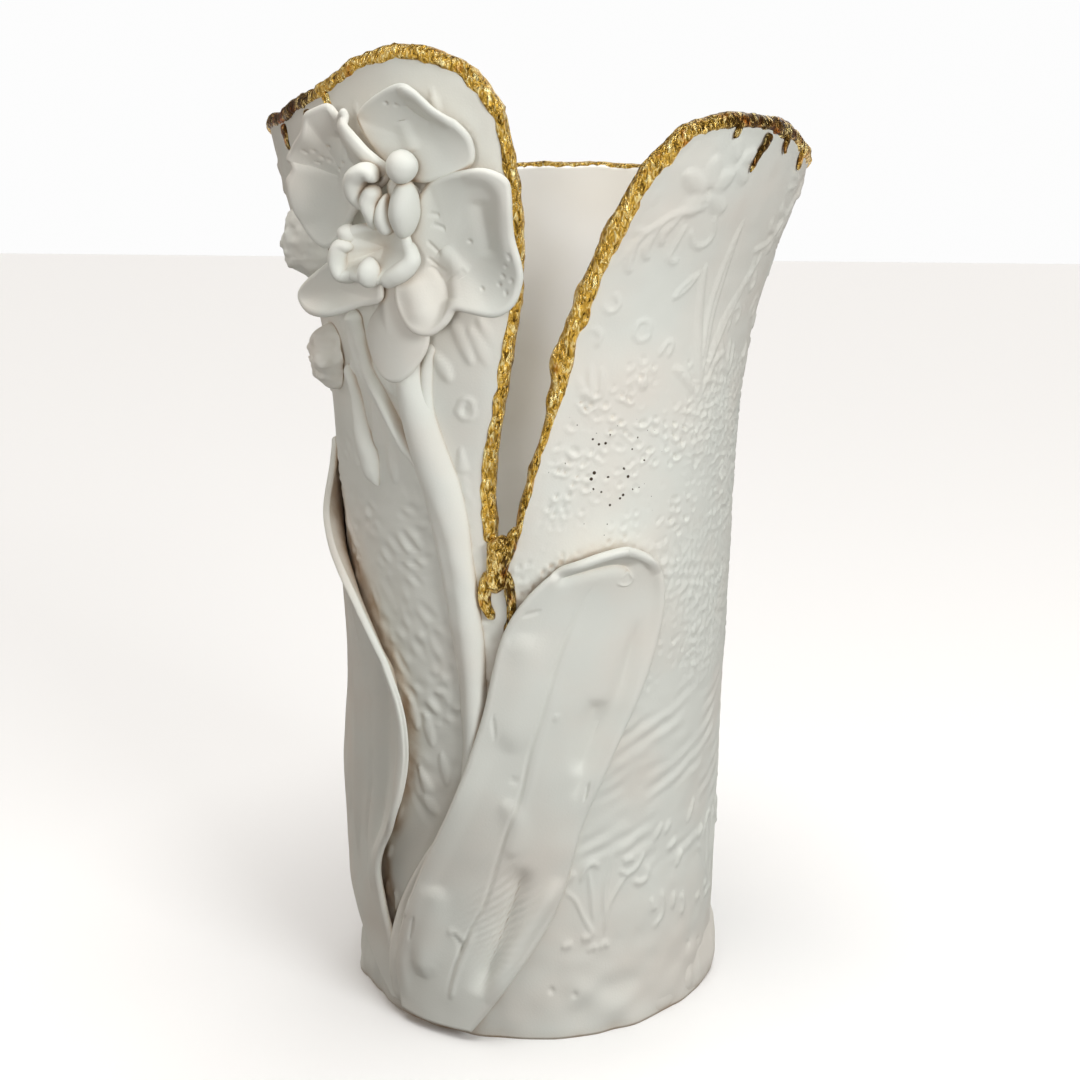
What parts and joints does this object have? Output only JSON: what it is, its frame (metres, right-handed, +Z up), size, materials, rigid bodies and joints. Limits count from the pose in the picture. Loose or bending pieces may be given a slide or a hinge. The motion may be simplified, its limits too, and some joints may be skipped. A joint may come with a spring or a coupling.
{
  "type": "porcelain vase",
  "caption": "Tall hand-built porcelain vase with a flared, slit mouth, gilded torn rim, embossed wall and an applied orchid spray; holds flowers.",
  "frame": {"origin": "centre of the underside of the foot, on the surface that the vase stands on", "axes": "+Z up along the vase, -Y towards the side with the slit, +X to the viewer's right"},
  "size_m": [0.1642, 0.1812, 0.2959],
  "materials": {
    "bisque_porcelain": "matte",
    "clear_glaze": "gloss",
    "gold_lustre": "polished"
  },
  "bodies": {
    "root": {"body_wall": "bisque_porcelain", "floor_disc": "bisque_porcelain", "foot_band": "bisque_porcelain", "glaze_lining": "clear_glaze", "gilt_rim_left": "gold_lustre", "gilt_rim_back": "gold_lustre", "gilt_rim_right": "gold_lustre", "gilt_seam": "gold_lustre", "leaf_left": "bisque_porcelain", "leaf_right": "bisque_porcelain", "stem_main": "bisque_porcelain", "stem_side": "bisque_porcelain", "flower_stalk": "bisque_porcelain", "bud_stalk": "bisque_porcelain", "bud_upper": "bisque_porcelain", "bud_lower": "bisque_porcelain", "flower_pad": "bisque_porcelain", "sepal_top": "bisque_porcelain", "sepal_left": "bisque_porcelain", "sepal_bottom": "bisque_porcelain", "petal_left": "bisque_porcelain", "petal_right": "bisque_porcelain", "orchid_lip": "bisque_porcelain", "lip_callus": "bisque_porcelain", "side_lobes": "bisque_porcelain", "column": "bisque_porcelain", "pollen_cap": "bisque_porcelain"}
  },
  "joints": []
}
